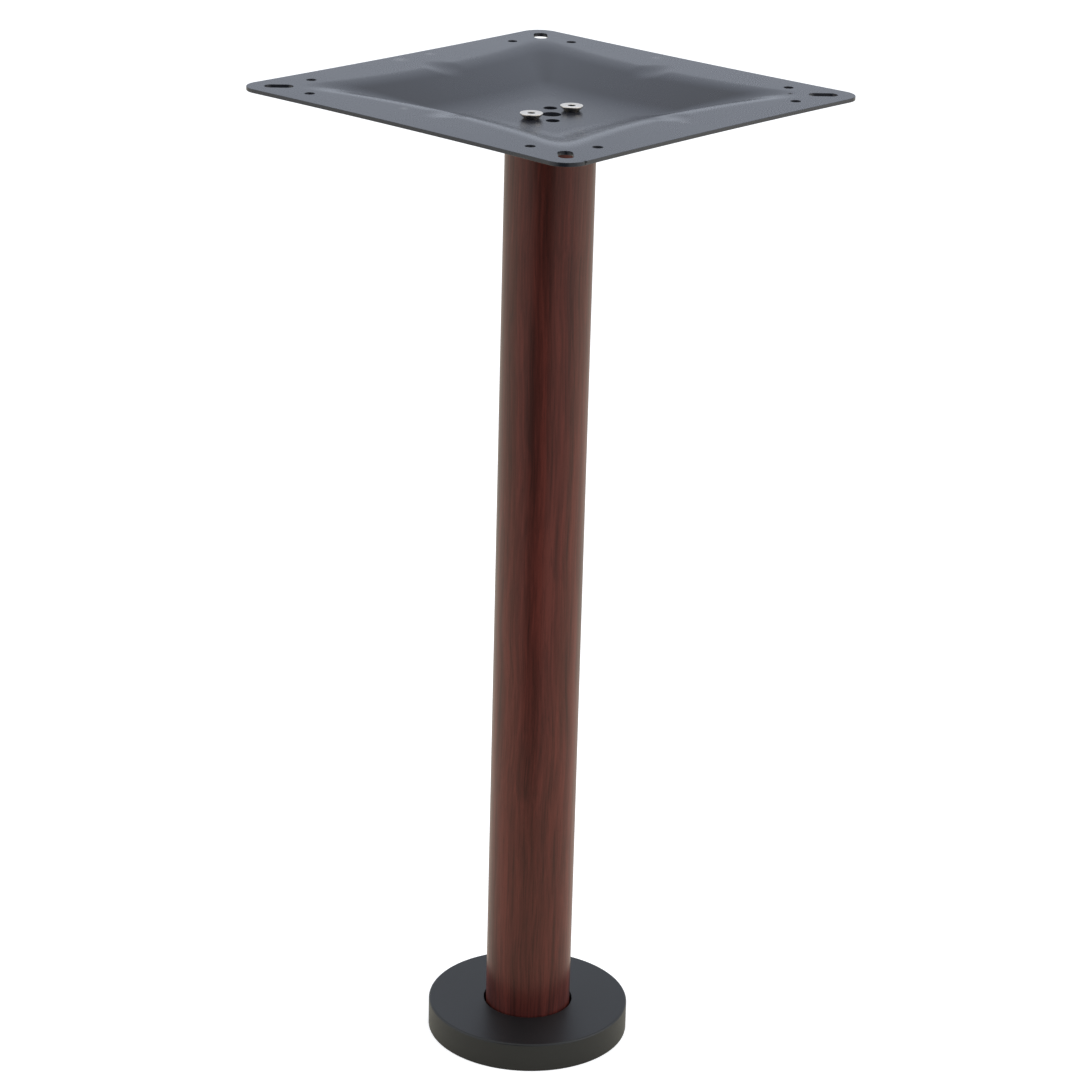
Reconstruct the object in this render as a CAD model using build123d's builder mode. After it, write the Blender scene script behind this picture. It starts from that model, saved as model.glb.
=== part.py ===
"""Floor-fixed dining table base: pressed square top plate, round tube column and loose floor cover.

Millimetres, +Z up. The origin is on the floor at the column's axis, and the plate's sides lie along X and Y.
"""

import os
from math import atan2, cos, hypot, sin, tan

from build123d import *

# Overall and column
base_height = 720.0
column_diameter = 63.5
column_wall = 1.5

# Pressed top plate: square sheet, its sides drawn in a little by the pressing
plate_side = 306.0
plate_corner_radius = 16.0
plate_draw_in = 2.8
sheet = 2.7

# Dish pressed into the plate
dish_depth = 16.6
rim_width = 36.0
dish_mouth_draw_in = 16.0
dish_floor_side = 100.0
mouth_bend_radius = 60.0
floor_bend_radius = 30.0

# Dart pressed across the mouth bend at the middle of each side
dart_radius = 60.0
dart_reach = 14.0
dart_run = 12.0
dart_overrun = 12.0

# Table top fixings in the rim
slot_length = 20.0
slot_width = 10.0
slot_inset = 21.0
wood_screw_hole = 7.0
wood_screw_inset = 21.0
wood_screw_from_side = 51.5

# Holes and screws in the dish floor
centre_hole = 13.5
spare_hole = 9.5
spare_spacing = 39.0
spare_turn = 45.0
screw_spacing = 38.2
screw_turn = -4.0
screw_hole = 9.0
screw_seat_chamfer = 0.7
screw_diameter = 8.0
screw_length = 20.0
screw_head_diameter = 16.0
screw_head_land = 0.9
screw_socket = 5.0
screw_socket_depth = 2.8
thread_clearance = 0.05

# Disc welded into the top of the tube
top_disc_thickness = 10.0

# Floor flange and its weld
flange_thickness = 6.0
weld_leg = 2.5
floor_bolt_hole = 11.0
floor_bolt_count = 4
floor_bolt_turn = 45.0

# Loose floor cover
cover_diameter = 150.0
cover_height = 22.0
cover_sheet = 2.0
cover_edge_bevel = 1.8
cover_column_gap = 1.4
cover_flange_clearance = 0.4

# Levels
rim_top = base_height
dish_floor_top = rim_top - dish_depth
dish_floor_underside = dish_floor_top - sheet
column_top = dish_floor_underside
rim_middle = rim_top - sheet / 2
dish_floor_middle = dish_floor_top - sheet / 2

# Radii and places that follow from the sizes above
column_radius = column_diameter / 2
plate_half = plate_side / 2
mouth_half = plate_half - rim_width
mouth_middle = mouth_half - dish_mouth_draw_in
dish_floor_half = dish_floor_side / 2
slope_angle = atan2(dish_depth, mouth_middle - dish_floor_half)
side_radius = (mouth_half**2 + dish_mouth_draw_in**2) / (2 * dish_mouth_draw_in)
side_centre = mouth_middle + side_radius
cover_radius = cover_diameter / 2
cover_hole_radius = column_radius + cover_column_gap
flange_radius = cover_radius - cover_sheet - cover_flange_clearance
floor_bolt_radius = (flange_radius + column_radius + weld_leg) / 2
column_bore_radius = column_radius - column_wall
slot_radius = hypot(plate_half - slot_inset, plate_half - slot_inset)
screw_hole_far = plate_half - wood_screw_inset
screw_hole_near = plate_half - wood_screw_from_side
shank_radius = screw_diameter / 2 - thread_clearance
screw_head_radius = screw_head_diameter / 2
screw_seat_radius = screw_hole / 2 + screw_seat_chamfer
screw_head_top = dish_floor_top + screw_head_radius - screw_seat_radius + screw_head_land
screw_tip = screw_head_top - screw_length


def drawn_in_square(level, half, draw_in, corner_radius):
    """Face at a level: a rounded square whose sides curve in by draw_in at their middles."""
    waist = half - draw_in
    corners = [(half, -half), (half, half), (-half, half), (-half, -half)]
    middles = [(waist, 0), (0, waist), (-waist, 0), (0, -waist)]
    with BuildSketch(Plane.XY.offset(level)) as section:
        with BuildLine():
            for index in range(4):
                ThreePointArc(corners[index], middles[index], corners[(index + 1) % 4])
        make_face()
        fillet(section.vertices(), corner_radius)
    return section.sketch.face()


# A dart is a straight groove that cuts the corner of the mouth bend and comes out on the rim and the slope.
# The lens is the metal that it pushes out under the sheet.
dart_outer = mouth_middle + dart_reach
dart_drop = dart_run * tan(slope_angle)
dart_fall = atan2(dart_drop, dart_reach + dart_run)
dart_length = hypot(dart_drop, dart_reach + dart_run) + 2 * dart_overrun
dart_plane = Plane(
    origin=(dart_outer + dart_overrun * cos(dart_fall), 0, rim_top + dart_overrun * sin(dart_fall)),
    x_dir=(0, -1, 0),
    z_dir=(-cos(dart_fall), 0, -sin(dart_fall)),
)
lens_outer = dart_outer + dart_overrun
lens_inner = dart_outer - dart_length
with BuildPart() as dart_lens:
    with BuildSketch(dart_plane):
        with Locations((0, dart_radius)):
            Circle(dart_radius + sheet)
    extrude(amount=dart_length)
    with BuildSketch(Plane.XZ):
        with BuildLine():
            Polyline(
                (lens_outer, rim_middle),
                (mouth_middle, rim_middle),
                (lens_inner, rim_middle - (mouth_middle - lens_inner) * tan(slope_angle)),
                (lens_inner, dish_floor_underside - dish_depth),
                (lens_outer, dish_floor_underside - dish_depth),
                close=True,
            )
        make_face()
    extrude(amount=dart_radius + sheet, both=True, mode=Mode.INTERSECT)

# One side of the dished sheet: its section, swung about a far axis so that the mouth is drawn in,
# and mitred on the plate's diagonals
section_start = 2 * side_centre
with BuildPart() as dish_side:
    with BuildSketch(Plane.XZ):
        with BuildLine():
            FilletPolyline(
                (section_start, dish_floor_middle),
                (section_start - dish_floor_half, dish_floor_middle),
                (section_start - mouth_middle, rim_middle),
                (section_start - plate_half, rim_middle),
                radius=[floor_bend_radius + sheet / 2, mouth_bend_radius - sheet / 2],
            )
        trace(line_width=sheet)
    revolve(axis=Axis((side_centre, 0, 0), (0, 0, 1)))
    with BuildSketch(Plane.XY.offset(dish_floor_underside)):
        Polygon((0, 0), (plate_half, -plate_half), (plate_half, plate_half), align=None)
    extrude(amount=rim_top - dish_floor_underside, mode=Mode.INTERSECT)
    add(dart_lens.part)
    with BuildSketch(dart_plane):
        with Locations((0, dart_radius)):
            Circle(dart_radius)
    extrude(amount=dart_length, mode=Mode.SUBTRACT)

with BuildPart() as top_plate:
    with PolarLocations(0, 4):
        add(dish_side.part)
    blank = drawn_in_square(dish_floor_underside, plate_half, plate_draw_in, plate_corner_radius)
    extrude(blank, amount=rim_top - dish_floor_underside, mode=Mode.INTERSECT)

    # Slots and wood-screw holes in the rim
    with BuildSketch(Plane.XY.offset(rim_top)):
        for quarter in range(4):
            with PolarLocations(slot_radius, 1, start_angle=45 + 90 * quarter):
                SlotOverall(slot_length, slot_width)
        with GridLocations(2 * screw_hole_far, 2 * screw_hole_near, 2, 2):
            Circle(wood_screw_hole / 2)
        with GridLocations(2 * screw_hole_near, 2 * screw_hole_far, 2, 2):
            Circle(wood_screw_hole / 2)
    extrude(amount=dish_floor_underside - rim_top, mode=Mode.SUBTRACT)

    # Centre hole, spare pair and screw pair in the dish floor
    with BuildSketch(Plane.XY.offset(dish_floor_top)):
        Circle(centre_hole / 2)
        with PolarLocations(spare_spacing / 2, 2, start_angle=spare_turn):
            Circle(spare_hole / 2)
    extrude(amount=-sheet, mode=Mode.SUBTRACT)
    with Locations(Plane.XY.offset(dish_floor_top)):
        with PolarLocations(screw_spacing / 2, 2, start_angle=screw_turn):
            CounterSinkHole(screw_hole / 2, screw_seat_radius, sheet)
top_plate.part.label = "top_plate"

with BuildPart() as plate_screws:
    with PolarLocations(screw_spacing / 2, 2, start_angle=screw_turn):
        with Locations((0, 0, screw_tip)):
            Cylinder(shank_radius, screw_length, align=(Align.CENTER, Align.CENTER, Align.MIN))
    with PolarLocations(screw_spacing / 2, 2, start_angle=screw_turn):
        with Locations((0, 0, screw_head_top - screw_head_land)):
            Cylinder(screw_head_radius, screw_head_land, align=(Align.CENTER, Align.CENTER, Align.MIN))
            Cone(
                shank_radius,
                screw_head_radius,
                screw_head_radius - shank_radius,
                align=(Align.CENTER, Align.CENTER, Align.MAX),
            )
    with BuildSketch(Plane.XY.offset(screw_head_top)):
        with PolarLocations(screw_spacing / 2, 2, start_angle=screw_turn):
            RegularPolygon(screw_socket / 2, 6, major_radius=False)
    extrude(amount=-screw_socket_depth, mode=Mode.SUBTRACT)
plate_screws.part.label = "plate_screws"

with BuildPart() as column_tube:
    with BuildSketch(Plane.XY.offset(flange_thickness)):
        Circle(column_radius)
        Circle(column_bore_radius, mode=Mode.SUBTRACT)
    extrude(amount=column_top - flange_thickness)
column_tube.part.label = "column_tube"

with BuildPart() as column_top_disc:
    with BuildSketch(Plane.XY.offset(column_top)):
        Circle(column_bore_radius)
        with PolarLocations(screw_spacing / 2, 2, start_angle=screw_turn):
            Circle(screw_diameter / 2, mode=Mode.SUBTRACT)
    extrude(amount=-top_disc_thickness)
column_top_disc.part.label = "column_top_disc"

with BuildPart() as floor_flange:
    with BuildSketch():
        Circle(flange_radius)
        with PolarLocations(floor_bolt_radius, floor_bolt_count, start_angle=floor_bolt_turn):
            Circle(floor_bolt_hole / 2, mode=Mode.SUBTRACT)
    extrude(amount=flange_thickness)
floor_flange.part.label = "floor_flange"

with BuildPart() as flange_weld:
    with BuildSketch(Plane.XZ):
        with BuildLine():
            root = (column_radius, flange_thickness)
            toe_up = (column_radius, flange_thickness + weld_leg)
            toe_out = (column_radius + weld_leg, flange_thickness)
            Polyline(toe_up, root, toe_out, close=True)
        make_face()
    revolve(axis=Axis.Z)
flange_weld.part.label = "flange_weld"

with BuildPart() as floor_cover:
    with BuildSketch(Plane.XZ):
        with BuildLine():
            Polyline(
                (cover_hole_radius, cover_height),
                (cover_hole_radius, cover_height - cover_sheet),
                (cover_radius - cover_sheet, cover_height - cover_sheet),
                (cover_radius - cover_sheet, 0),
                (cover_radius, 0),
                (cover_radius, cover_height - cover_edge_bevel),
                (cover_radius - cover_edge_bevel, cover_height),
                close=True,
            )
        make_face()
    revolve(axis=Axis.Z)
floor_cover.part.label = "floor_cover"

os.makedirs("parts", exist_ok=True)
for piece in (
    top_plate,
    plate_screws,
    column_tube,
    column_top_disc,
    floor_flange,
    flange_weld,
    floor_cover,
):
    export_step(piece.part, f"parts/{piece.part.label}.step")
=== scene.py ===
"""Looks of a floor-fixed dining table base: pressed plate, wood-effect column and loose floor cover.

Metres, in the part's own frame. The shapes repeat the solids, with rounded edges and smoother bends.
"""

import math

import bpy
import numpy as np
from mathutils import Matrix, Vector
from mathutils.geometry import delaunay_2d_cdt


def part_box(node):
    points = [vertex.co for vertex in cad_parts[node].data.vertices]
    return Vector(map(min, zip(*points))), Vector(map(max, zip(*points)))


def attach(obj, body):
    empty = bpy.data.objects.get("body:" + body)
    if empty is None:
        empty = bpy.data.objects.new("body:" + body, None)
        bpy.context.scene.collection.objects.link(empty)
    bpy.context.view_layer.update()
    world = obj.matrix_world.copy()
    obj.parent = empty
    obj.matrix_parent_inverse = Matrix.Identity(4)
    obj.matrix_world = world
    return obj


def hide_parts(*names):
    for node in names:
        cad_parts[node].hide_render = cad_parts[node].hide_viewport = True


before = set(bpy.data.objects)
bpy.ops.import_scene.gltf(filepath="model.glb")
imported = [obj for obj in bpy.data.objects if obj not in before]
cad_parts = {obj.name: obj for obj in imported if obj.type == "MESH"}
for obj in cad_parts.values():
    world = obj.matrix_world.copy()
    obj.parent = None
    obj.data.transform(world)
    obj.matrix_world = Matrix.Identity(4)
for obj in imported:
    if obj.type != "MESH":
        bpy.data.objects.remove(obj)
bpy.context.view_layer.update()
MM = 0.001

# Levels and sizes taken from the frame
plate_low, plate_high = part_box("top_plate")
screws_low, screws_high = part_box("plate_screws")
weld_low, weld_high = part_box("flange_weld")
cover_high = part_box("floor_cover")[1]
column_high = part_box("column_tube")[1]
RIM_TOP = plate_high.z
DISH_BOTTOM = plate_low.z
COLUMN_RADIUS = column_high.x

# Pressed plate
PLATE_HALF = 153 * MM
PLATE_CORNER = 16 * MM
PLATE_DRAW_IN = 2.8 * MM
SHEET = 2.7 * MM
SHEET_EDGE = 0.28 * MM
RIM_WIDTH = 36 * MM
DISH_DEPTH = RIM_TOP - DISH_BOTTOM - SHEET
MOUTH_DRAW_IN = 16 * MM
FLOOR_HALF = 50 * MM
MOUTH_BEND = 60 * MM
FLOOR_BEND = 80 * MM
VALLEY_AT_FLOOR = 3 * MM
VALLEY_AT_MOUTH = 24 * MM
DART_RADIUS = 60 * MM
DART_REACH = 14 * MM
DART_RUN = 9 * MM
DART_BLEND = 1.2 * MM

# Holes in the plate
SLOT_LENGTH = 20 * MM
SLOT_WIDTH = 10 * MM
SLOT_INSET = 21 * MM
WOOD_SCREW_HOLE = 7 * MM
WOOD_SCREW_INSET = 21 * MM
WOOD_SCREW_FROM_SIDE = 51.5 * MM
CENTRE_HOLE = 13.5 * MM
SPARE_HOLE = 9.5 * MM
SPARE_SPACING = 39 * MM
SPARE_TURN = math.radians(45)
SCREW_HOLE = 9 * MM
SCREW_SPACING = 38.2 * MM
SCREW_TURN = math.radians(-4)

# Plate screws
HEAD_RADIUS = 8 * MM
HEAD_LAND = 0.9 * MM
HEAD_EDGE = 0.2 * MM
SHANK_RADIUS = 3.95 * MM
TIP_CHAMFER = 0.8 * MM
SOCKET_ACROSS = 5 * MM
SOCKET_DEPTH = 2.8 * MM
SOCKET_LEAD = 0.25 * MM
SOCKET_FLOOR_SHARE = 0.35
SCREW_SHARP_ANGLE = math.radians(32)

# Floor cover
COVER_RADIUS = cover_high.x
COVER_TOP = cover_high.z
COVER_SHEET = 2 * MM
COVER_EDGE = 1.6 * MM
COVER_INNER_EDGE = 0.3 * MM
COVER_FOOT_EDGE = 0.3 * MM
COVER_GAP = 1.4 * MM
COVER_HOLE = COLUMN_RADIUS + COVER_GAP
COVER_HOLE_EDGE = 0.5 * MM

# Weld round the foot of the column
WELD_LEG = weld_high.z - weld_low.z
WELD_RIPPLES = 90
WELD_RIPPLE_DEPTH = 0.14
WELD_BULGE = 0.16
WELD_SHARP_ANGLE = math.radians(50)

# Fineness of the meshes
GRID_STEP = 2.4 * MM
SIDE_STEPS = 96
CORNER_STEPS = 28
HOLE_STEPS = 56
SLOT_END_STEPS = 24
EDGE_ANGLES = np.radians((30, 60, 90))
COVER_SEGMENTS = 192
SCREW_SEGMENTS = 72
WELD_SEGMENTS = 540
WELD_SECTION = 7

# Marks on the plate's coat: place in the plan and radius in mm, and strength for the pale ones
SCUFFS = (
    ((-7.4, 139.6), 6.0, 0.6),
    ((22.6, 139.3), 4.0, 0.55),
    ((-116.2, 27.4), 3.0, 0.6),
    ((-5.8, -123.1), 3.0, 0.55),
    ((137.3, 24.0), 4.0, 0.55),
)
DARK_MARKS = (((117.9, -114.0), 2.0), ((-135.4, -152.3), 1.8))

# Colours of the finishes: tones from dark to pale, and single tones
PLATE_TONES = ((0.012, 0.0135, 0.019), (0.017, 0.019, 0.027))
COVER_TONES = ((0.006, 0.0066, 0.007), (0.009, 0.0097, 0.0102))
COAT_SPECK = (0.05, 0.052, 0.06)
SCUFF_TONE = (0.16, 0.16, 0.165)
DARK_MARK_TONE = (0.003, 0.003, 0.003)
WOOD_TONES = ((0.047, 0.0127, 0.0104), (0.088, 0.0215, 0.0168), (0.139, 0.0324, 0.0244))
WOOD_PORE = (0.030, 0.009, 0.008)
WOOD_SWAY = 16 * MM
WOOD_SHEEN = (1.0, 0.68, 0.60, 1.0)
PLATING_TONES = ((0.88, 0.80, 0.68), (0.97, 0.89, 0.77))
# Painted shade for the hollow of each screw socket, not a colour of the plating
SOCKET_PAINTED_SHADE = (0.06, 0.055, 0.05)
STEEL_TONES = ((0.20, 0.20, 0.21), (0.34, 0.34, 0.35))
PRIMER_TONES = ((0.020, 0.020, 0.021), (0.040, 0.040, 0.042))

# Painted shade in the screw sockets: a ball below the head's top, and the width of its faded edge
SOCKET_SHADE_DEPTH = 1.6 * MM
SOCKET_SHADE_RADIUS = 3.1 * MM
SOCKET_SHADE_FADE = 0.2 * MM

# Camera
VIEW_AZIMUTH = math.radians(-47.94)
VIEW_DISTANCE = 2.1763
VIEW_HEIGHT = 1.1957
VIEW_PITCH = 0.3539
VIEW_ROLL = -0.0271
LENS = 107.4
SENSOR_WIDTH = 36
VIEW_LIMIT = 50

# Table that the object stands on, and how the camera sees it
WHITE = (1, 1, 1)
TABLE_IN_FRONT = 0.48
TABLE_REACH = 6.0
TABLE_DROP = 0.2 * MM
TABLE_TONE = (0.74, 0.71, 0.60)
TABLE_TONE_SEEN = (0.8, 0.8, 0.8)
TABLE_GLOW = (1.0, 0.92, 0.72)
TABLE_GLOW_STRENGTH = 0.24
CAMERA_GLOW_GAIN = 2.5

# Studio round it: colour by the height of a direction, and the dark room behind the camera
BACKDROP_LOW = -0.2
BACKDROP = (
    (-0.10, (0.60, 0.59, 0.57)),
    (0.02, (1.00, 1.08, 1.22)),
    (0.10, (1.03, 1.11, 1.26)),
    (0.20, (0.69, 0.74, 0.84)),
    (0.30, (0.53, 0.57, 0.65)),
    (0.42, (0.73, 0.79, 0.91)),
    (0.60, (0.73, 0.79, 0.91)),
    (0.85, (0.80, 0.80, 0.80)),
)
WORLD_STRENGTH = 0.9
DARK_ROOM = (0.035, 0.035, 0.028)
DARK_TURN = math.radians(-12)
DARK_HALF_WIDTH = math.radians(24)
DARK_EDGE = math.radians(5)
DARK_FULL_BELOW = 0.5
DARK_NONE_ABOVE = 0.85

# Lamps: place to the right, away from the camera and up, then size and power
LAMPS = {
    "left_box": ((-2.2, -0.5, 1.1), (2.6, 2.0), 11),
    "right_box": ((2.2, -0.5, 1.1), (2.6, 2.0), 19),
    "top_box": ((0.0, -0.5, 2.6), (2.0, 2.0), 10),
}
LAMP_AIM = Vector((0, 0, 0.4))


def new_object(name, vertices, faces, normals=None):
    """Mesh object from vertices and faces, smooth, with its own vertex normals where they are given."""
    mesh = bpy.data.meshes.new(name)
    mesh.from_pydata([tuple(v) for v in vertices], [], [tuple(f) for f in faces])
    mesh.update()
    mesh.shade_smooth()
    if normals is not None:
        mesh.normals_split_custom_set_from_vertices([tuple(n) for n in normals])
    piece = bpy.data.objects.new(name, mesh)
    bpy.context.scene.collection.objects.link(piece)
    return piece


def crisp(piece):
    """Face-weighted normals, so that flat faces stay flat beside small rounded edges."""
    weighted = piece.modifiers.new("weighted_normals", "WEIGHTED_NORMAL")
    weighted.weight = 100
    weighted.keep_sharp = True


def arc(centre, radius, start, end, count):
    """Points of an arc, both ends included; angles in degrees."""
    angles = np.radians(np.linspace(start, end, count + 1))
    return np.column_stack((centre[0] + radius * np.cos(angles), centre[1] + radius * np.sin(angles)))


def polar(radius, angle):
    """Plan point at a distance from the axis, in a direction."""
    return (radius * math.cos(angle), radius * math.sin(angle))


# Form of the pressed plate
MOUTH_HALF = PLATE_HALF - RIM_WIDTH
MOUTH_MIDDLE = MOUTH_HALF - MOUTH_DRAW_IN
SIDE_RADIUS = (MOUTH_HALF**2 + MOUTH_DRAW_IN**2) / (2 * MOUTH_DRAW_IN)
SIDE_CENTRE = MOUTH_MIDDLE + SIDE_RADIUS
SLOPE = math.atan2(DISH_DEPTH, MOUTH_MIDDLE - FLOOR_HALF)
MOUTH_TANGENT = MOUTH_BEND * math.tan(SLOPE / 2)
FLOOR_TANGENT = FLOOR_BEND * math.tan(SLOPE / 2)


def section_drop(x):
    """Drop below the rim along one side's section: floor, floor bend, slope, mouth bend and rim."""
    slope_line = (MOUTH_MIDDLE - x) * math.tan(SLOPE)
    from_floor = np.clip(x - (FLOOR_HALF - FLOOR_TANGENT), 0, FLOOR_BEND)
    floor_arc = DISH_DEPTH - (FLOOR_BEND - np.sqrt(FLOOR_BEND**2 - from_floor**2))
    from_rim = np.clip(MOUTH_MIDDLE + MOUTH_TANGENT - x, 0, MOUTH_BEND)
    rim_arc = MOUTH_BEND - np.sqrt(MOUTH_BEND**2 - from_rim**2)
    floor_bend_end = FLOOR_HALF + FLOOR_TANGENT * math.cos(SLOPE)
    mouth_bend_end = MOUTH_MIDDLE - MOUTH_TANGENT * math.cos(SLOPE)
    return np.where(x < floor_bend_end, floor_arc, np.where(x < mouth_bend_end, slope_line, rim_arc))


def soft_max(a, b, blend):
    """Larger of two values, rounded where they are within blend of each other."""
    near = np.maximum(blend - np.abs(a - b), 0)
    return np.maximum(a, b) + near**2 / (4 * blend)


def side_section(along, across):
    """Section coordinate of a plan point on the side whose outward direction is along."""
    return SIDE_CENTRE - np.hypot(SIDE_CENTRE - along, across)


def dart_drop(along, across):
    """Drop below the rim of the groove that is pressed across a side's mouth bend."""
    outer = MOUTH_MIDDLE + DART_REACH
    fall = math.atan2(DART_RUN * math.tan(SLOPE), DART_REACH + DART_RUN)
    widest = 0.9 * DART_RADIUS
    reach = np.minimum(np.abs(across), widest)
    rise = DART_RADIUS - np.sqrt(DART_RADIUS**2 - reach**2)
    return (outer - along) * math.tan(fall) - rise / math.cos(fall)


def plate_top(x, y):
    """Height of the plate's upper face at plan points."""
    x, y = np.abs(x), np.abs(y)
    side_x = side_section(x, y)
    side_y = side_section(y, x)
    outer = np.maximum(side_x, side_y)
    blend = np.interp(outer, (FLOOR_HALF, MOUTH_MIDDLE), (VALLEY_AT_FLOOR, VALLEY_AT_MOUTH))
    drop = section_drop(soft_max(side_x, side_y, blend))
    for along, across in ((x, y), (y, x)):
        near_dart = (across < DART_RADIUS) & (along > MOUTH_MIDDLE - 2 * DART_RUN)
        deeper = soft_max(drop, dart_drop(along, across), DART_BLEND)
        drop = np.where(near_dart, deeper, drop)
    return RIM_TOP - np.clip(drop, 0, DISH_DEPTH)


def plate_normals(x, y):
    """Unit normals of the upper face, from differences of the height."""
    step = 0.05 * MM
    slope_x = (plate_top(x + step, y) - plate_top(x - step, y)) / (2 * step)
    slope_y = (plate_top(x, y + step) - plate_top(x, y - step)) / (2 * step)
    normals = np.column_stack((-slope_x, -slope_y, np.ones_like(x)))
    return normals / np.linalg.norm(normals, axis=1)[:, None]


# Outline of the plate: sides drawn in as large arcs, corners rounded
OUTLINE_RADIUS = (PLATE_HALF**2 + PLATE_DRAW_IN**2) / (2 * PLATE_DRAW_IN)
OUTLINE_CENTRE = PLATE_HALF - PLATE_DRAW_IN + OUTLINE_RADIUS
CORNER_CENTRE = (
    OUTLINE_CENTRE - math.sqrt(2 * (OUTLINE_RADIUS + PLATE_CORNER) ** 2 - OUTLINE_CENTRE**2)
) / 2
TANGENT_ANGLE = math.degrees(math.atan2(CORNER_CENTRE, OUTLINE_CENTRE - CORNER_CENTRE))


def plate_outline(inset):
    """Closed outline of the plate, moved inwards by inset, as plan points."""
    side_centre = (OUTLINE_CENTRE, 0)
    side_radius = OUTLINE_RADIUS + inset
    side = arc(side_centre, side_radius, 180 + TANGENT_ANGLE, 180 - TANGENT_ANGLE, SIDE_STEPS)
    corner_centre = (CORNER_CENTRE, CORNER_CENTRE)
    corner_radius = PLATE_CORNER - inset
    corner = arc(corner_centre, corner_radius, -TANGENT_ANGLE, 90 + TANGENT_ANGLE, CORNER_STEPS)
    quarter = np.vstack((side[:-1], corner[:-1]))
    quarter_turn = np.array(((0, 1), (-1, 0)))
    points = [quarter]
    for _ in range(3):
        points.append(points[-1] @ quarter_turn)
    return np.vstack(points)


def round_hole(centre, diameter):
    """Function that gives the outline of a round hole, moved outwards by an inset."""
    return lambda inset: arc(centre, diameter / 2 + inset, 0, 360, HOLE_STEPS)[:-1]


def corner_slot(quarter):
    """Function that gives the outline of the slot in one corner, moved outwards by an inset."""
    reach = math.hypot(PLATE_HALF - SLOT_INSET, PLATE_HALF - SLOT_INSET)
    half = (SLOT_LENGTH - SLOT_WIDTH) / 2
    turn = math.radians(45 + 90 * quarter)
    rotation = np.array(((math.cos(turn), -math.sin(turn)), (math.sin(turn), math.cos(turn))))

    def outline(inset):
        radius = SLOT_WIDTH / 2 + inset
        outer = arc((reach + half, 0), radius, -90, 90, SLOT_END_STEPS)
        inner = arc((reach - half, 0), radius, 90, 270, SLOT_END_STEPS)
        return np.vstack((outer, inner)) @ rotation.T

    return outline


def plate_holes():
    """Outline functions of every hole in the plate."""
    far = PLATE_HALF - WOOD_SCREW_INSET
    near = PLATE_HALF - WOOD_SCREW_FROM_SIDE
    holes = [corner_slot(quarter) for quarter in range(4)]
    for sign_x in (-1, 1):
        for sign_y in (-1, 1):
            holes.append(round_hole((sign_x * far, sign_y * near), WOOD_SCREW_HOLE))
            holes.append(round_hole((sign_x * near, sign_y * far), WOOD_SCREW_HOLE))
    holes.append(round_hole((0, 0), CENTRE_HOLE))
    for half_turn in (0, math.pi):
        holes.append(round_hole(polar(SPARE_SPACING / 2, SPARE_TURN + half_turn), SPARE_HOLE))
        holes.append(round_hole(polar(SCREW_SPACING / 2, SCREW_TURN + half_turn), SCREW_HOLE))
    return holes


def inside(points, polygon):
    """Which plan points lie inside a closed polygon, by counting crossings."""
    x, y = points[:, 0][:, None], points[:, 1][:, None]
    x0, y0 = polygon[:, 0], polygon[:, 1]
    x1, y1 = np.roll(x0, -1), np.roll(y0, -1)
    spans = (y0 > y) != (y1 > y)
    with np.errstate(divide="ignore", invalid="ignore"):
        crossing = x0 + (y - y0) * (x1 - x0) / (y1 - y0)
    return (np.sum(spans & (x < crossing), axis=1) % 2) == 1


def plate_plan(outline, holes):
    """Triangles of the plate in plan: loop points first, then a grid between them."""
    loops = [outline(SHEET_EDGE)] + [hole(SHEET_EDGE) for hole in holes]
    grid_edge = 0.6 * GRID_STEP
    convex_hull = 0
    merge_distance = 1e-9
    ticks = np.arange(-PLATE_HALF, PLATE_HALF, GRID_STEP)
    grid = np.column_stack([axis.ravel() for axis in np.meshgrid(ticks, ticks)])
    keep = inside(grid, outline(grid_edge))
    for hole in holes:
        keep &= ~inside(grid, hole(grid_edge))
    points = np.vstack(loops + [grid[keep]])
    edges = []
    first = 0
    for loop in loops:
        count = len(loop)
        edges += [(first + i, first + (i + 1) % count) for i in range(count)]
        first += count
    corners = [Vector(p) for p in points]
    triangles = np.array(delaunay_2d_cdt(corners, edges, [], convex_hull, merge_distance)[2])
    centres = points[triangles].mean(axis=1)
    wanted = inside(centres, loops[0])
    for loop in loops[1:]:
        wanted &= ~inside(centres, loop)
    return points, triangles[wanted], [len(loop) for loop in loops]


def edge_rings(shape, upper_level, lower_level):
    """Rings of points and normals that round one edge of the sheet, from its upper to its lower face."""
    outward = (shape(0) - shape(SHEET_EDGE)) / SHEET_EDGE
    halves = ((1, upper_level, EDGE_ANGLES), (-1, lower_level, EDGE_ANGLES[::-1]))
    rings = []
    for side, face_level, angles in halves:
        for angle in angles:
            ring = shape(SHEET_EDGE * (1 - math.sin(angle)))
            level = face_level - side * SHEET_EDGE * (1 - math.cos(angle))
            upward = np.full(len(ring), side * math.cos(angle))
            normals = np.column_stack((outward * math.sin(angle), upward))
            rings.append((np.column_stack((ring, level)), normals))
    return rings


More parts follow.
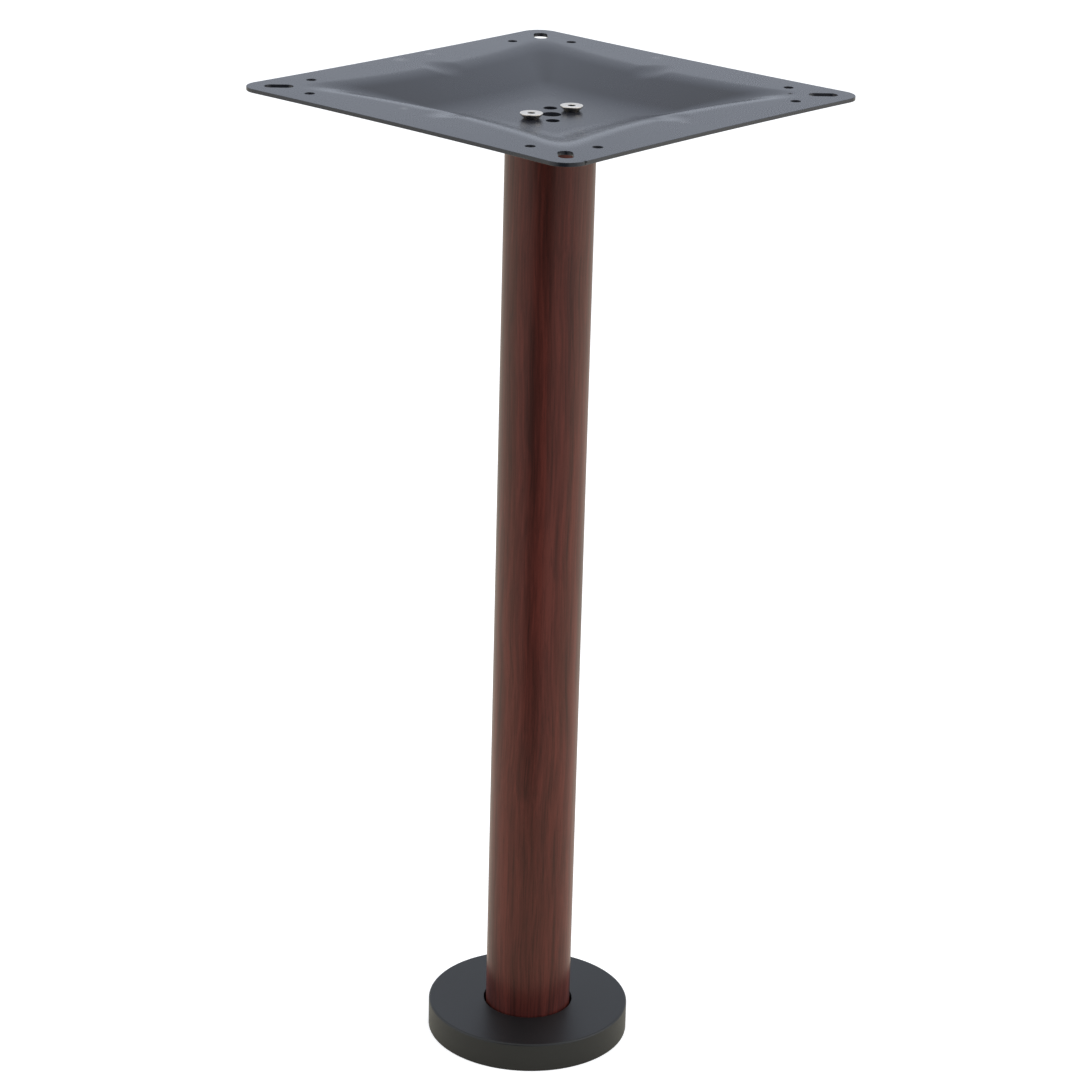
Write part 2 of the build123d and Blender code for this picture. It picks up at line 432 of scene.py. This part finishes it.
def make_plate():
    """Pressed sheet: upper and lower faces, and a rounded edge round the outline and each hole."""
    holes = plate_holes()
    points, triangles, counts = plate_plan(plate_outline, holes)
    x, y = points[:, 0], points[:, 1]
    upper_normals = plate_normals(x, y)
    upper = np.column_stack((x, y, plate_top(x, y)))
    lower = upper - SHEET * upper_normals
    on_loops = sum(counts)
    lower[:on_loops, :2] = points[:on_loops]
    lower[:on_loops, 2] = upper[:on_loops, 2] - SHEET / upper_normals[:on_loops, 2]
    total = len(points)
    vertices = [upper, lower]
    normals = [upper_normals, -upper_normals]
    faces = [tuple(t) for t in triangles] + [tuple(t[::-1] + total) for t in triangles]
    made = 2 * total
    first = 0
    for index, (shape, count) in enumerate(zip([plate_outline] + holes, counts)):
        loop = np.arange(first, first + count)
        rings = [loop]
        for ring, ring_normals in edge_rings(shape, upper[loop, 2], lower[loop, 2]):
            vertices.append(ring)
            normals.append(ring_normals)
            rings.append(made + np.arange(count))
            made += count
        rings.append(loop + total)
        for above, below in zip(rings, rings[1:]):
            for i in range(count):
                j = (i + 1) % count
                quad = (above[i], below[i], below[j], above[j])
                faces.append(quad if index == 0 else quad[::-1])
        first += count
    piece = new_object("pressed_plate", np.vstack(vertices), faces, np.vstack(normals))
    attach(piece, "base")
    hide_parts("top_plate")
    return piece


def turned(name, profile, segments):
    """Turned piece from a closed profile of (radius, height) points, anticlockwise in the half plane."""
    count = len(profile)
    angles = np.linspace(0, 2 * np.pi, segments, endpoint=False)
    vertices = [(r * math.cos(a), r * math.sin(a), z) for a in angles for r, z in profile]
    faces = []
    for i in range(segments):
        k = (i + 1) % segments
        for j in range(count):
            m = (j + 1) % count
            faces.append((i * count + j, k * count + j, k * count + m, i * count + m))
    return new_object(name, vertices, faces)


def make_cover():
    """Loose floor cover: a shallow round cap with a rounded top edge and a clean hole for the column."""
    inner = COVER_RADIUS - COVER_SHEET
    inner_top = COVER_TOP - COVER_SHEET
    foot = COVER_FOOT_EDGE
    hole = COVER_HOLE + COVER_HOLE_EDGE
    profile = np.vstack(
        (
            arc((COVER_RADIUS - foot, foot), foot, -90, 0, 3),
            arc((COVER_RADIUS - COVER_EDGE, COVER_TOP - COVER_EDGE), COVER_EDGE, 0, 90, 10),
            arc((hole, COVER_TOP - COVER_HOLE_EDGE), COVER_HOLE_EDGE, 90, 180, 4),
            arc((hole, inner_top + COVER_HOLE_EDGE), COVER_HOLE_EDGE, 180, 270, 4),
            arc((inner - COVER_INNER_EDGE, inner_top - COVER_INNER_EDGE), COVER_INNER_EDGE, 90, 0, 4),
            arc((inner + foot, foot), foot, 180, 270, 3),
        )
    )
    piece = turned("round_floor_cover", profile, COVER_SEGMENTS)
    crisp(piece)
    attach(piece, "cover")
    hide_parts("floor_cover")
    return piece


def screw_rings(angles):
    """Rings of one screw, from its tip round the head to the socket's floor, as (radius, height) points."""
    top, tip = screws_high.z, screws_low.z
    cone = HEAD_RADIUS - SHANK_RADIUS
    outer = np.vstack(
        (
            [(SHANK_RADIUS - TIP_CHAMFER, tip), (SHANK_RADIUS, tip + TIP_CHAMFER)],
            [(SHANK_RADIUS, top - HEAD_LAND - cone)],
            arc((HEAD_RADIUS - HEAD_EDGE, top - HEAD_LAND + HEAD_EDGE), HEAD_EDGE, -45, 0, 3),
            arc((HEAD_RADIUS - HEAD_EDGE, top - HEAD_EDGE), HEAD_EDGE, 0, 90, 4),
        )
    )
    side_half = math.pi / 6
    socket_corner = SOCKET_ACROSS / 2 / math.cos(side_half)
    from_flat = [(a + side_half) % (2 * side_half) - side_half for a in angles]
    hexagon = [SOCKET_ACROSS / 2 / math.cos(a) for a in from_flat]
    rings = [[(r, z)] * len(angles) for r, z in outer]
    rings.append([(socket_corner + SOCKET_LEAD, top)] * len(angles))
    rings.append([(r, top - SOCKET_LEAD) for r in hexagon])
    rings.append([(r, top - SOCKET_DEPTH + 2 * SOCKET_LEAD) for r in hexagon])
    rings.append([(SOCKET_FLOOR_SHARE * r, top - SOCKET_DEPTH) for r in hexagon])
    return rings


def make_screws():
    """Two countersunk screws with hexagon sockets."""
    angles = np.linspace(0, 2 * np.pi, SCREW_SEGMENTS, endpoint=False)
    rings = screw_rings(angles)
    around = range(SCREW_SEGMENTS)
    vertices = []
    faces = []
    for half_turn in (0, math.pi):
        centre = polar(SCREW_SPACING / 2, SCREW_TURN + half_turn)
        base = len(vertices)
        for ring in rings:
            for (r, z), a in zip(ring, angles):
                vertices.append((centre[0] + r * math.cos(a), centre[1] + r * math.sin(a), z))
        for level in range(len(rings) - 1):
            low = base + level * SCREW_SEGMENTS
            high = low + SCREW_SEGMENTS
            for i in around:
                k = (i + 1) % SCREW_SEGMENTS
                faces.append((low + i, low + k, high + k, high + i))
        socket_floor = base + (len(rings) - 1) * SCREW_SEGMENTS
        faces.append(tuple(base + i for i in reversed(around)))
        faces.append(tuple(socket_floor + i for i in around))
    piece = new_object("countersunk_screws", vertices, faces)
    piece.data.set_sharp_from_angle(angle=SCREW_SHARP_ANGLE)
    crisp(piece)
    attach(piece, "base")
    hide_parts("plate_screws")
    return piece


def make_weld():
    """Fillet weld round the foot of the column, laid down in overlapping ripples."""
    vertices = []
    faces = []
    for i in range(WELD_SEGMENTS):
        a = 2 * math.pi * i / WELD_SEGMENTS
        phase = (a * WELD_RIPPLES / (2 * math.pi)) % 1
        ripple = math.sqrt(max(0, 1 - (2 * phase - 1) ** 2))
        swell = 1 - WELD_RIPPLE_DEPTH + WELD_RIPPLE_DEPTH * ripple
        for j in range(WELD_SECTION):
            t = j / (WELD_SECTION - 1)
            bulge = 1 + WELD_BULGE * math.sin(math.pi * t)
            r = COLUMN_RADIUS + WELD_LEG * t * bulge * swell
            z = weld_low.z + WELD_LEG * (1 - t) * bulge * swell
            vertices.append((r * math.cos(a), r * math.sin(a), z))
        vertices.append((COLUMN_RADIUS * math.cos(a), COLUMN_RADIUS * math.sin(a), weld_low.z))
    count = WELD_SECTION + 1
    for i in range(WELD_SEGMENTS):
        k = (i + 1) % WELD_SEGMENTS
        for j in range(count):
            m = (j + 1) % count
            faces.append((i * count + j, i * count + m, k * count + m, k * count + j))
    piece = new_object("ripple_weld", vertices, faces)
    piece.data.set_sharp_from_angle(angle=WELD_SHARP_ANGLE)
    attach(piece, "base")
    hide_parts("flange_weld")
    return piece


class Nodes:
    """Short way to write the node tree of a material, or of the world."""

    def __init__(self, name, world=None):
        self.material = world or bpy.data.materials.new(name)
        self.material.use_nodes = True
        self.tree = self.material.node_tree
        self.shader = self.tree.nodes["Background" if world else "Principled BSDF"]
        self.place = self.tree.nodes.new("ShaderNodeTexCoord").outputs["Generated" if world else "Object"]

    def add(self, kind, inputs=None, **settings):
        """New node; inputs are values, or output sockets to link."""
        node = self.tree.nodes.new(kind)
        for key, value in settings.items():
            setattr(node, key, value)
        for key, value in (inputs or {}).items():
            self.feed(node.inputs[key], value)
        return node

    def feed(self, socket, value):
        """Link an output socket to an input socket, or set its value."""
        if isinstance(value, bpy.types.NodeSocket):
            self.tree.links.new(value, socket)
        else:
            socket.default_value = value

    def shade(self, key, value):
        """Feed one input of the shader."""
        self.feed(self.shader.inputs[key], value)

    def math(self, operation, a, b=0.0, c=0.0):
        """Number from a math operation."""
        return self.add("ShaderNodeMath", {0: a, 1: b, 2: c}, operation=operation).outputs[0]

    def vector(self, operation, a, b=(0, 0, 0)):
        """Vector from a vector operation."""
        return self.add("ShaderNodeVectorMath", {0: a, 1: b}, operation=operation).outputs["Vector"]

    def measure(self, operation, a, b=(0, 0, 0)):
        """Number from a vector operation."""
        return self.add("ShaderNodeVectorMath", {0: a, 1: b}, operation=operation).outputs["Value"]

    def noise(self, place, scale, detail, roughness=0.5):
        """Grey value of a noise texture."""
        inputs = {"Vector": place, "Scale": scale, "Detail": detail, "Roughness": roughness}
        return self.add("ShaderNodeTexNoise", inputs).outputs["Fac"]

    def ramp(self, factor, *stops):
        """Colours at positions 0 to 1."""
        node = self.add("ShaderNodeValToRGB", {"Fac": factor})
        elements = node.color_ramp.elements
        while len(elements) < len(stops):
            elements.new(0.5)
        for element, (position, colour) in zip(elements, stops):
            element.position = position
            element.color = (*colour, 1)
        return node.outputs["Color"]

    def mix(self, factor, a, b):
        """Colour a where the factor is 0, and b where it is 1."""
        node = self.add("ShaderNodeMix", data_type="RGBA")
        self.feed(node.inputs["Factor"], factor)
        for key, value in ((6, a), (7, b)):
            self.feed(node.inputs[key], value if isinstance(value, bpy.types.NodeSocket) else (*value, 1))
        return node.outputs[2]

    def map(self, value, low, high, to_low=0.0, to_high=1.0, shape="SMOOTHSTEP"):
        """Value moved from one range to another, and held at its ends."""
        inputs = {"Value": value, "From Min": low, "From Max": high, "To Min": to_low, "To Max": to_high}
        return self.add("ShaderNodeMapRange", inputs, interpolation_type=shape).outputs["Result"]

    def spread(self, noise, low, high):
        """Noise, which mostly lies between 0.3 and 0.7, spread over a range."""
        return self.map(noise, 0.3, 0.7, low, high, "LINEAR")

    def spot(self, centre, radius, ragged):
        """Mask of a small mark round a point, with a ragged edge."""
        wander = 0.8 * radius
        core = 0.4 * radius
        away = self.measure("DISTANCE", self.place, centre)
        away = self.math("ADD", away, self.spread(ragged, -wander, wander))
        return self.map(away, radius, core)

    def bump(self, height, distance, strength, normal=None):
        """Normal tilted by a height, on top of another normal where one is given."""
        inputs = {"Height": height, "Distance": distance, "Strength": strength}
        if normal is not None:
            inputs["Normal"] = normal
        return self.add("ShaderNodeBump", inputs).outputs["Normal"]


def powder_coat(name, tones, roughness, shine):
    """Black powder coat: fine orange peel, cloudy tone, and the pale and dark marks on the plate."""
    n = Nodes(name)
    cloud = n.noise(n.place, scale=9, detail=4, roughness=0.55)
    fine = n.noise(n.place, scale=900, detail=2, roughness=0.6)
    ragged = n.noise(n.place, scale=700, detail=2, roughness=0.7)
    speck = n.map(n.noise(n.place, scale=1500, detail=1), 0.70, 0.78)
    tone = n.ramp(cloud, (0.3, tones[0]), (0.7, tones[1]))
    tone = n.mix(n.math("MULTIPLY", speck, 0.3), tone, COAT_SPECK)
    for (x, y), radius, strength in SCUFFS:
        spot = n.spot((x * MM, y * MM, RIM_TOP), radius * MM, ragged)
        tone = n.mix(n.math("MULTIPLY", spot, strength), tone, SCUFF_TONE)
    rough = n.math("ADD", n.spread(cloud, *roughness), n.spread(fine, -0.008, 0.008))
    for (x, y), radius in DARK_MARKS:
        spot = n.spot((x * MM, y * MM, RIM_TOP), radius * MM, ragged)
        tone = n.mix(spot, tone, DARK_MARK_TONE)
        rough = n.math("MAXIMUM", rough, spot)
    peel = n.bump(n.noise(n.place, scale=420, detail=2), 0.005 * MM, 0.3)
    n.shade("Base Color", tone)
    n.shade("Roughness", rough)
    n.shade("Specular IOR Level", shine)
    n.shade("Normal", n.bump(fine, 0.002 * MM, 0.3, peel))
    return n.material


def wood_effect():
    """Dark mahogany grain film on the tube, satin, with fine pores along the column."""
    n = Nodes("wood_effect_coating")
    drift = n.add("ShaderNodeTexNoise", {"Vector": n.place, "Scale": 6.0, "Detail": 2.0}).outputs["Color"]
    sway = n.vector("MULTIPLY", n.vector("SUBTRACT", drift, (0.5, 0.5, 0.5)), (WOOD_SWAY, WOOD_SWAY, 0.0))
    place = n.vector("ADD", n.place, sway)
    broad_place = n.vector("MULTIPLY", place, (1, 1, 0.04))
    streak_place = n.vector("MULTIPLY", place, (1, 1, 0.03))
    pore_place = n.vector("MULTIPLY", place, (1, 1, 0.045))
    broad = n.noise(broad_place, scale=90, detail=3, roughness=0.55)
    streak = n.noise(streak_place, scale=260, detail=4, roughness=0.6)
    thread = n.noise(streak_place, scale=720, detail=3, roughness=0.6)
    pore = n.noise(pore_place, scale=1700, detail=2, roughness=0.6)
    figure = n.math("MULTIPLY_ADD", broad, 0.4, n.math("MULTIPLY", streak, 0.32))
    figure = n.math("MULTIPLY_ADD", thread, 0.28, figure)
    tone = n.ramp(figure, *zip((0.40, 0.49, 0.58), WOOD_TONES))
    dashes = n.map(pore, 0.40, 0.30)
    n.shade("Base Color", n.mix(n.math("MULTIPLY", dashes, 0.45), tone, WOOD_PORE))
    n.shade("Specular IOR Level", 0.45)
    n.shade("Specular Tint", WOOD_SHEEN)
    n.shade("Roughness", n.spread(streak, 0.34, 0.28))
    n.shade("Normal", n.bump(pore, 0.025 * MM, 0.5))
    return n.material


def plating():
    """Bright plated steel with a faint turned sheen, and painted shade darkening the sockets."""
    n = Nodes("bright_plating")
    smear = n.noise(n.place, scale=260, detail=3, roughness=0.6)
    tone = n.ramp(smear, (0.3, PLATING_TONES[0]), (0.7, PLATING_TONES[1]))
    # Painted shade: each hexagon socket's hollow is darkened in the colour, as the recess lies in shade
    for half_turn in (0, math.pi):
        x, y = polar(SCREW_SPACING / 2, SCREW_TURN + half_turn)
        away = n.measure("DISTANCE", n.place, (x, y, screws_high.z - SOCKET_SHADE_DEPTH))
        socket_shade = n.map(away, SOCKET_SHADE_RADIUS, SOCKET_SHADE_RADIUS - SOCKET_SHADE_FADE)
        tone = n.mix(socket_shade, tone, SOCKET_PAINTED_SHADE)
    n.shade("Metallic", 1.0)
    n.shade("Base Color", tone)
    n.shade("Roughness", n.spread(smear, 0.10, 0.18))
    n.shade("Normal", n.bump(n.noise(n.place, scale=2200, detail=2), 0.01 * MM, 0.4))
    return n.material


def plain_steel():
    """Turned steel disc with concentric tool marks and a dull film of oil."""
    n = Nodes("plain_steel")
    radius = n.measure("LENGTH", n.vector("MULTIPLY", n.place, (1, 1, 0)))
    rings = n.add("ShaderNodeTexNoise", {"W": radius, "Scale": 3000.0}, noise_dimensions="1D")
    film = n.noise(n.place, scale=60, detail=3)
    n.shade("Metallic", 1.0)
    n.shade("Base Color", n.ramp(film, (0.35, STEEL_TONES[0]), (0.7, STEEL_TONES[1])))
    n.shade("Roughness", n.spread(film, 0.38, 0.5))
    n.shade("Normal", n.bump(rings.outputs["Fac"], 0.02 * MM, 0.5))
    return n.material


def primer():
    """Matt black primer, a little dusty."""
    n = Nodes("black_primer")
    cloud = n.noise(n.place, scale=30, detail=4, roughness=0.6)
    fine = n.noise(n.place, scale=800, detail=2, roughness=0.6)
    n.shade("Base Color", n.ramp(cloud, (0.3, PRIMER_TONES[0]), (0.75, PRIMER_TONES[1])))
    n.shade("Roughness", n.spread(fine, 0.58, 0.72))
    n.shade("Normal", n.bump(fine, 0.05 * MM, 0.5))
    return n.material


def dress(piece, material):
    """Give a piece one material."""
    piece.data.materials.clear()
    piece.data.materials.append(material)


def right_of(towards):
    """Level direction to the right of a level direction."""
    return Vector((towards.y, -towards.x, 0))


def make_camera():
    """Camera where the photographer stood, slightly rolled; gives the level direction to the object."""
    towards = Vector((-math.sin(VIEW_AZIMUTH), math.cos(VIEW_AZIMUTH), 0))
    forward = towards * math.cos(VIEW_PITCH) - Vector((0, 0, math.sin(VIEW_PITCH)))
    level_right = right_of(towards)
    level_down = forward.cross(level_right)
    right = level_right * math.cos(VIEW_ROLL) + level_down * math.sin(VIEW_ROLL)
    up = level_right * math.sin(VIEW_ROLL) - level_down * math.cos(VIEW_ROLL)
    place = -towards * VIEW_DISTANCE + Vector((0, 0, VIEW_HEIGHT))
    rotation = Matrix((right, up, -forward)).transposed().to_4x4()
    data = bpy.data.cameras.new("photo_camera")
    data.sensor_width = SENSOR_WIDTH
    data.lens = LENS
    data.clip_end = VIEW_LIMIT
    camera = bpy.data.objects.new("photo_camera", data)
    camera.matrix_world = Matrix.Translation(place) @ rotation
    bpy.context.scene.collection.objects.link(camera)
    bpy.context.scene.camera = camera
    return towards


def make_floor(towards):
    """Pale table: white to the camera, with the contact shadow, cut off in front and clear from below."""
    near = -TABLE_IN_FRONT * towards
    far = TABLE_REACH * towards
    wide = TABLE_REACH * right_of(towards)
    below = Vector((0, 0, -TABLE_DROP))
    corners = [corner + below for corner in (near - wide, near + wide, far + wide, far - wide)]
    floor = new_object("studio_floor", corners, [(0, 1, 2, 3)])
    n = Nodes("studio_floor")
    path = n.add("ShaderNodeLightPath")
    camera_ray = path.outputs["Is Camera Ray"]
    reflected = n.math("ADD", path.outputs["Is Glossy Ray"], path.outputs["Is Transmission Ray"])
    shown = n.math("MULTIPLY_ADD", camera_ray, CAMERA_GLOW_GAIN, reflected)
    n.shade("Roughness", 0.9)
    n.shade("Specular IOR Level", 0.0)
    n.shade("Base Color", n.mix(camera_ray, TABLE_TONE, TABLE_TONE_SEEN))
    n.shade("Emission Color", n.mix(camera_ray, TABLE_GLOW, WHITE))
    n.shade("Emission Strength", n.math("MULTIPLY", shown, TABLE_GLOW_STRENGTH))
    clear = n.add("ShaderNodeBsdfTransparent").outputs[0]
    from_below = n.add("ShaderNodeNewGeometry").outputs["Backfacing"]
    either = n.add("ShaderNodeMixShader", {0: from_below, 1: n.shader.outputs[0], 2: clear})
    n.feed(n.tree.nodes["Material Output"].inputs["Surface"], either.outputs[0])
    dress(floor, n.material)


def make_world(towards):
    """Studio, white to the camera, brightest low down, with a dark room on the photographer's side."""
    n = Nodes("studio", bpy.data.worlds.new("studio"))
    bpy.context.scene.world = n.material
    height = n.add("ShaderNodeSeparateXYZ", {0: n.place}).outputs["Z"]
    level = n.vector("NORMALIZE", n.vector("MULTIPLY", n.place, (1, 1, 0)))
    dark_side = Matrix.Rotation(DARK_TURN, 3, "Z") @ -towards
    facing = n.measure("DOT_PRODUCT", level, dark_side)
    dark = n.map(facing, math.cos(DARK_HALF_WIDTH + DARK_EDGE), math.cos(DARK_HALF_WIDTH - DARK_EDGE))
    dark = n.math("MULTIPLY", dark, n.map(height, DARK_NONE_ABOVE, DARK_FULL_BELOW))
    rise = n.map(height, BACKDROP_LOW, 1, shape="LINEAR")
    stops = [((z - BACKDROP_LOW) / (1 - BACKDROP_LOW), colour) for z, colour in BACKDROP]
    studio = n.mix(dark, n.ramp(rise, *stops), DARK_ROOM)
    path = n.add("ShaderNodeLightPath")
    camera_ray = path.outputs["Is Camera Ray"]
    reflected = n.math("ADD", path.outputs["Is Glossy Ray"], path.outputs["Is Transmission Ray"])
    shown = n.math("ADD", camera_ray, reflected)
    n.shade("Color", n.mix(camera_ray, studio, WHITE))
    n.shade("Strength", n.map(shown, 0, 1, WORLD_STRENGTH, 1.0, "LINEAR"))


def soft_box(name, place, size, power):
    """Large rectangular lamp that faces the object."""
    data = bpy.data.lights.new(name, "AREA")
    data.shape = "RECTANGLE"
    data.size, data.size_y = size
    data.energy = power
    lamp = bpy.data.objects.new(name, data)
    lamp.visible_camera = False
    rotation = (place - LAMP_AIM).to_track_quat("Z", "Y").to_matrix().to_4x4()
    lamp.matrix_world = Matrix.Translation(place) @ rotation
    bpy.context.scene.collection.objects.link(lamp)


def make_lights(towards):
    """Soft boxes at both sides of the object and above it, a little towards the camera."""
    for name, ((rightwards, away, height), size, power) in LAMPS.items():
        place = right_of(towards) * rightwards + towards * away + Vector((0, 0, height))
        soft_box(name, place, size, power)


dress(make_plate(), powder_coat("black_powder_coat", PLATE_TONES, roughness=(0.25, 0.29), shine=0.5))
dress(make_cover(), powder_coat("black_powder_coat_matt", COVER_TONES, roughness=(0.42, 0.46), shine=0.48))
dress(make_screws(), plating())
dark_primer = primer()
dress(make_weld(), dark_primer)
dress(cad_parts["floor_flange"], dark_primer)
dress(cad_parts["column_tube"], wood_effect())
dress(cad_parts["column_top_disc"], plain_steel())

towards_object = make_camera()
make_floor(towards_object)
make_world(towards_object)
make_lights(towards_object)
bpy.context.scene.view_settings.view_transform = "Standard"
